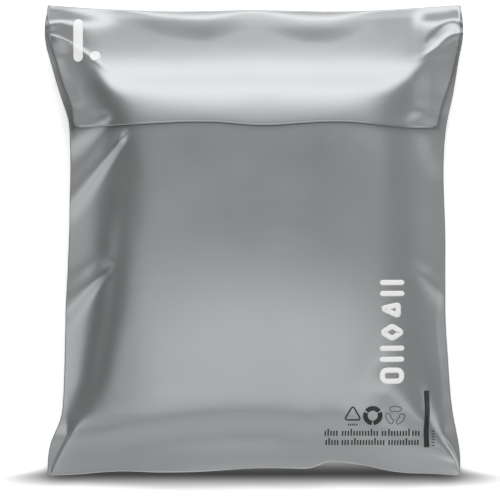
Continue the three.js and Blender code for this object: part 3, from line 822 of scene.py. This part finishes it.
# Plain printed shapes, in millimetres from the middle of the bag
prints = {
    "lift": 0.13,  # top of the ink over the film
    "thickness": 0.07,
    "cell": 0.8,  # length of one cell of ink along a stroke
    "leastCells": 6,
    "rows": 4,  # cells across a stroke, where it gives none itself
    "turnReach": 0.15,  # a stroke takes its direction over this share of its width each way
    "tip": 0.995,  # just under 1, so that a round end keeps a little width
    "cornerPoints": 7,  # along a rounded corner
    "arcPoints": 14,
    "thirds": (90, 210, 330),  # turns of what has three parts round its middle, in degrees
    "halfThird": 60,
    "cornerBar": {"x": -147.2, "from": 185.9, "to": 149.9, "width": 8.3, "rows": 8},
    "cornerDot": {"at": (-132.7, 154.6), "width": 8.3, "half": 0.3, "rows": 8},
    "row": {
        "x": 114.3, "size": (20.8, 13.6), "stroke": 4.5,
        "ringCorner": 4.4, "corner": 1.8,  # how far their corners are rounded
        "diamondReach": 0.6,  # how far the diamond's side tips pass the size
        "wedgeEnd": 3,  # how far short of the size the wedge ends
        "wedgeTip": 1.6,  # how far its tip is off the middle
        "marks": [("bars", -39), ("wedge", -57.4), ("diamond", -75.7), ("bars", -93.6), ("ring", -111.7)],
    },
    "triangle": {"at": (81.9, -144.6), "radius": 8.1, "stroke": 1.3, "corner": 3, "rows": 2},
    # rings in three segments, with gaps in degrees
    "thickRing": {"at": (98.6, -145.1), "radius": 6.2, "stroke": 3.8, "gap": 26, "overlap": 0.2, "rows": 3},
    "thinRing": {
        "at": (117.3, -145.1), "radius": 5.9, "wide": 4.1, "stroke": 0.55, "gap": 24,
        "corner": 0.5, "rows": 1,
    },
    # the short row under the triangle
    "underTriangle": {
        "x": 82, "y": -152.8, "count": 5, "pitch": 1.7, "height": 1.8, "width": 0.9, "end": 0.4, "rows": 1,
    },
    # two lines of short plain ticks in groups: (start, ticks)
    "lines": [
        {"y": -160.4, "groups": [(59.4, 5), (73.8, 13), (107, 2), (112.4, 8), (132.6, 3)]},
        {"y": -168.4, "groups": [(60.3, 5), (73.8, 3), (81.8, 12), (112.8, 11)]},
    ],
    # stride and cycle pick which ticks are tall
    "tick": {"pitch": 2.4, "width": 1.25, "low": 4.3, "tall": 6, "stride": 3, "cycle": 7, "rows": 2},
    "bar": {
        "path": [(144.3, -125), (144.8, -143), (143.5, -156), (144.5, -172.6)],
        "width": 4.5, "corner": 5,
    },
    "besideBar": {"x": 149.8, "from": -159, "pitch": 2.4, "count": 6, "height": 2, "width": 0.8, "rows": 1},
}


class Ink:
    # strokes of ink that follow the film, gathered into one piece
    def __init__(self):
        self.points = []
        self.faces = []

    def sheet(self, x, y, closed):
        # rows of places across the stroke, joined cell by cell
        start = sum(len(part) for part in self.points)
        count, across = x.shape
        height = outerHeight(x.ravel(), y.ravel()) + prints["lift"]
        self.points.append(np.column_stack([x.ravel(), y.ravel(), height]))
        for n in range(count if closed else count - 1):
            following = (n + 1) % count
            for k in range(across - 1):
                a, b = start + n * across + k, start + following * across + k
                self.faces.append((a, a + 1, b + 1, b))

    def stroke(self, path, width, closed=False, rows=None, square=False):
        # a line of even width with rounded or square ends, or a closed ring
        rows = rows or prints["rows"]
        path = np.array(path + path[:1] if closed else path, float)
        lengths = np.hypot(*np.diff(path, axis=0).T)
        places = np.concatenate([[0], np.cumsum(lengths)])
        total = places[-1]
        count = max(int(total / prints["cell"]), prints["leastCells"])
        if closed or square:
            steps = np.arange(count + square) * total / count
            half = np.full(len(steps), width / 2)
        else:
            steps = total * (0.5 - 0.5 * np.cos(np.pi * np.arange(count + 1) / count))
            steps = steps * (1 + width / total) - width / 2  # the round ends reach past the line
            over = np.clip(np.maximum(-steps, steps - total), 0, width / 2 * prints["tip"])
            half = np.sqrt((width / 2) ** 2 - over ** 2)
        inside = np.clip(steps, 0, total)
        x, y = np.interp(inside, places, path[:, 0]), np.interp(inside, places, path[:, 1])
        reach = prints["turnReach"] * width
        ahead, behind = inside + reach, inside - reach
        if closed:
            ahead, behind = ahead % total, behind % total
        else:
            ahead, behind = np.minimum(ahead, total), np.maximum(behind, 0)
        wayX = np.interp(ahead, places, path[:, 0]) - np.interp(behind, places, path[:, 0])
        wayY = np.interp(ahead, places, path[:, 1]) - np.interp(behind, places, path[:, 1])
        length = np.hypot(wayX, wayY)
        wayX, wayY = wayX / length, wayY / length
        x, y = x + (steps - inside) * wayX, y + (steps - inside) * wayY
        spread = np.linspace(1, -1, rows + 1)[None, :] * half[:, None]
        self.sheet(x[:, None] - wayY[:, None] * spread, y[:, None] + wayX[:, None] * spread, closed)

    def piece(self, name, material, slot):
        # all strokes so far as one piece, facing outwards
        made = makePiece(name, np.vstack(self.points), self.faces, material)
        bpy.ops.object.select_all(action="DESELECT")
        made.select_set(True)
        bpy.context.view_layer.objects.active = made
        bpy.ops.object.mode_set(mode="EDIT")
        bpy.ops.mesh.select_all(action="SELECT")
        bpy.ops.mesh.normals_make_consistent(inside=False)
        bpy.ops.object.mode_set(mode="OBJECT")
        thicken(made, prints["thickness"])
        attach(made, "root")


def roundedOutline(corners, radius):
    # a closed outline with its corners rounded
    path = []
    for n, corner in enumerate(corners):
        before, after = Vector(corners[n - 1]), Vector(corners[(n + 1) % len(corners)])
        corner = Vector(corner)
        start = corner + (before - corner).normalized() * radius
        end = corner + (after - corner).normalized() * radius
        for turn in np.linspace(0, 1, prints["cornerPoints"]):
            place = start.lerp(corner, turn).lerp(corner.lerp(end, turn), turn)
            path.append((place.x, place.y))
    return path


def arcPath(middle, radius, first, last):
    # an arc of a circle, in degrees anticlockwise from the right
    turns = np.radians(np.linspace(first, last, prints["arcPoints"]))
    return [(middle[0] + radius * math.cos(t), middle[1] + radius * math.sin(t)) for t in turns]


def printWhite(material):
    ink = Ink()
    bar, dot = prints["cornerBar"], prints["cornerDot"]
    upper, lower = bar["from"] - bar["width"] / 2, bar["to"] + bar["width"] / 2
    ink.stroke([(bar["x"], upper), (bar["x"], lower)], bar["width"], rows=bar["rows"])
    dotX, dotY = dot["at"]
    ink.stroke([(dotX - dot["half"], dotY), (dotX + dot["half"], dotY)], dot["width"], rows=dot["rows"])
    row = prints["row"]
    stroke = row["stroke"]
    halfX, halfY = (side / 2 - stroke / 2 for side in row["size"])
    tipY = halfY + row["diamondReach"]
    endX = halfX - row["wedgeEnd"]
    outlines = {
        "ring": [(-halfX, -halfY), (halfX, -halfY), (halfX, halfY), (-halfX, halfY)],
        "diamond": [(-halfX, 0), (0, -tipY), (halfX, 0), (0, tipY)],
        "wedge": [(-halfX, row["wedgeTip"]), (endX, -halfY), (endX, halfY)],
    }
    for kind, y in row["marks"]:
        if kind == "bars":
            for side in (-halfY, halfY):
                ink.stroke([(row["x"] - halfX, y + side), (row["x"] + halfX, y + side)], stroke)
            continue
        corners = [(row["x"] + a, y + b) for a, b in outlines[kind]]
        rounding = row["ringCorner"] if kind == "ring" else row["corner"]
        ink.stroke(roundedOutline(corners, rounding), stroke, closed=True)
    ink.piece("white_print", material, "white_print")


def printSegments(ink, turn):
    # one segment of each ring, with its middle at this turn
    thick, thin = prints["thickRing"], prints["thinRing"]
    reach = prints["halfThird"] - thick["gap"] / 2
    for side in (-1, 1):  # two side by side, which squares the segment's ends
        radius = thick["radius"] + side * thick["stroke"] / 4
        path = arcPath(thick["at"], radius, turn - reach, turn + reach)
        ink.stroke(path, thick["stroke"] / 2 + thick["overlap"], rows=thick["rows"])
    reach = prints["halfThird"] - thin["gap"] / 2
    outer = arcPath(thin["at"], thin["radius"] + thin["wide"] / 2, turn - reach, turn + reach)
    inner = arcPath(thin["at"], thin["radius"] - thin["wide"] / 2, turn + reach, turn - reach)
    outline = roundedOutline(outer[::3] + inner[::3], thin["corner"])  # every third point is enough
    ink.stroke(outline, thin["stroke"], closed=True, rows=thin["rows"])


def printTicks(ink):
    # the lines of short ticks, a few of them taller
    tick = prints["tick"]
    for line in prints["lines"]:
        low = line["y"] - tick["low"] / 2
        for start, count in line["groups"]:
            for n in range(count):
                x = start + n * tick["pitch"]
                isTall = (tick["stride"] * n + count) % tick["cycle"] == 1
                high = low + (tick["tall"] if isTall else tick["low"])
                ink.stroke([(x, low), (x, high)], tick["width"], rows=tick["rows"], square=True)


def printDark(material):
    ink = Ink()
    triangle = prints["triangle"]
    (x, y), radius = triangle["at"], triangle["radius"]
    corners = [(x + radius * math.cos(t), y + radius * math.sin(t)) for t in np.radians(prints["thirds"])]
    outline = roundedOutline(corners, triangle["corner"])
    ink.stroke(outline, triangle["stroke"], closed=True, rows=triangle["rows"])
    for turn in prints["thirds"]:
        printSegments(ink, turn)
    short = prints["underTriangle"]
    for n in range(short["count"]):
        x = short["x"] + (n - (short["count"] - 1) / 2) * short["pitch"]
        lower = short["y"] - short["height"] / 2 + short["end"]
        upper = short["y"] + short["height"] / 2 - short["end"]
        ink.stroke([(x, lower), (x, upper)], short["width"], rows=short["rows"])
    printTicks(ink)
    bar = prints["bar"]
    corner = prints["cornerPoints"]
    bends = roundedOutline(bar["path"], bar["corner"])[corner:-corner]  # its two ends stay square
    ink.stroke(bar["path"][:1] + bends + bar["path"][-1:], bar["width"], square=True)
    column = prints["besideBar"]
    left, right = column["x"] - column["height"] / 2, column["x"] + column["height"] / 2
    for n in range(column["count"]):
        y = column["from"] - n * column["pitch"]
        ink.stroke([(left, y), (right, y)], column["width"], rows=column["rows"])
    ink.piece("dark_print", material, "dark_print")


print("film and goods")
film = filmMaterial()
makeBag(film)
print("flap")
makeFlap(film)
print("print")
printWhite(inkMaterial("white_ink", inks["white"]))
printDark(inkMaterial("dark_ink", inks["dark"]))

studio = {
    # a soft shadow painted on the floor below the bottom edge; past its half length it fades, bends down
    # and thins
    "paintedShadow": {
        "middle": -197.6, "halfLength": 150, "below": 16.5, "above": 25, "depth": 0.93,
        "endFade": 102, "endDrop": 6.5, "endNarrowing": 4,
    },
    # below is how far under the bag the floor lies, and boost how bright the camera sees it
    "floor": {"radius": 1300, "sides": 96, "below": 0.2, "colour": 0.8, "boost": 1.7},
    "camera": {"place": (-3.4, -7.5, 1595), "lens": 135, "sensor": 36},
    # strengths of the world, whose background node has its own grey of 0.8, so that 1.25 is just white
    "sky": 0.27,  # overhead
    "horizon": {"level": 1, "from": 0, "to": 0.1},  # pale round about, by the sine of the height above it
    "backdrop": 1.25,  # what the camera alone sees past the floor
    "aimHeight": 40,  # of the lamps, over the middle of the bag's back
    "lamps": {
        "top": {"place": (0, 1290, 1130), "size": (3200, 1080), "radiance": 2.45},
        "front": {"place": (-50, -610, 1850), "size": (2300, 1300), "radiance": 1.12},
        "low": {"place": (0, -1700, 750), "size": (2600, 1300), "radiance": 0.65},
        "side": {"place": (1500, 0, 1250), "size": (1900, 1900), "radiance": 0.23},
    },
}


def addLight(name, setup):
    # an area lamp of even radiance, aimed at the bag
    lamp = bpy.data.lights.new(name, "AREA")
    lamp.shape = "RECTANGLE"
    lamp.size, lamp.size_y = (side * mm for side in setup["size"])
    lamp.energy = setup["radiance"] * math.pi * lamp.size * lamp.size_y
    lightObject = bpy.data.objects.new(name, lamp)
    bpy.context.scene.collection.objects.link(lightObject)
    place = Vector(setup["place"]) * mm
    lightObject.location = place
    aim = Vector((0, 0, studio["aimHeight"] * mm))
    lightObject.rotation_euler = (aim - place).to_track_quat("-Z", "Y").to_euler()


def addCamera():
    lens = bpy.data.cameras.new("camera")
    lens.lens = studio["camera"]["lens"]
    lens.sensor_width = studio["camera"]["sensor"]
    camera = bpy.data.objects.new("camera", lens)
    bpy.context.scene.collection.objects.link(camera)
    camera.location = Vector(studio["camera"]["place"]) * mm
    bpy.context.scene.camera = camera


def addSky():
    # pale round about and darker overhead, and plain white past the floor for the camera alone
    world = Shader(bpy.data.worlds.new("studio"))
    horizon = studio["horizon"]
    upward = world.node("SeparateXYZ", {}, {"Vector": world.node("TexCoord")}, output=2)
    level = world.node("MapRange", {"interpolation_type": "SMOOTHSTEP"}, {
        "Value": upward, "From Min": horizon["from"], "From Max": horizon["to"],
        "To Min": horizon["level"], "To Max": studio["sky"],
    })
    seen = world.node("LightPath", output="Is Camera Ray") * studio["backdrop"]
    sky = world.node("Background", {}, {"Strength": world.maximum(level, seen)})
    world.node("OutputWorld", {}, {"Surface": sky})
    bpy.context.scene.world = world.owner


def paintedShadowBand(card):
    # how dark the painted shadow below the bottom edge is at each place of the floor
    paintedShadow = studio["paintedShadow"]
    place = card.node("TexCoord", output=3)
    across = card.node("SeparateXYZ", {}, {"Vector": place})
    beyond = card.maximum(card.absolute(across) - paintedShadow["halfLength"] * mm, 0)
    beyond = beyond * (1 / (paintedShadow["endFade"] * mm))
    along = card.node("SeparateXYZ", {}, {"Vector": place}, output=1) + beyond * (paintedShadow["endDrop"] * mm)
    along = along - paintedShadow["middle"] * mm
    upward = card.maximum(along, 0) * (1 / (paintedShadow["above"] * mm)) * (beyond * paintedShadow["endNarrowing"] + 1)
    downward = card.maximum(0 - along, 0) * (1 / (paintedShadow["below"] * mm))
    distance = card.maths("SQRT", beyond * beyond + upward * upward + downward * downward)
    return card.node("MapRange", {"interpolation_type": "SMOOTHSTEP"}, {
        "Value": distance, "From Min": 0, "From Max": 1, "To Min": paintedShadow["depth"], "To Max": 0,
    })


def addFloor():
    # plain pale card, which the camera and reflections see brighter and with a shadow painted below the
    # bottom edge
    plan = studio["floor"]
    bpy.ops.object.select_all(action="DESELECT")
    bpy.ops.mesh.primitive_circle_add(
        vertices=plan["sides"], radius=plan["radius"] * mm, fill_type="NGON",
        location=(0, 0, -plan["below"] * mm),
    )
    floor = bpy.context.object
    floor.name = "floor"
    card = Shader(bpy.data.materials.new("pale_floor"))
    plain = card.node("BsdfDiffuse", {}, {"Color": (plan["colour"],) * 3 + (1,)})
    # painted shadow: the floor's colour as the camera and reflections see it is darkened in a band below
    # the bag's bottom edge
    seenColour = card.node("Mix", {"data_type": "RGBA"}, {
        0: paintedShadowBand(card), 6: (plan["boost"],) * 3 + (1,), 7: (0, 0, 0, 1),
    }, output=2)
    bright = card.node("BsdfDiffuse", {}, {"Color": seenColour})
    seen = card.node("LightPath", output="Is Camera Ray")
    for kind in ("Is Glossy Ray", "Is Transmission Ray"):
        seen = card.maximum(seen, card.node("LightPath", output=kind))
    card.node("OutputMaterial", {}, {"Surface": card.node("MixShader", {}, {0: seen, 1: plain, 2: bright})})
    floor.data.materials.append(card.owner)


print("studio")
addCamera()
for name, setup in studio["lamps"].items():
    addLight(name, setup)
addSky()
addFloor()
bpy.context.scene.view_settings.view_transform = "Standard"
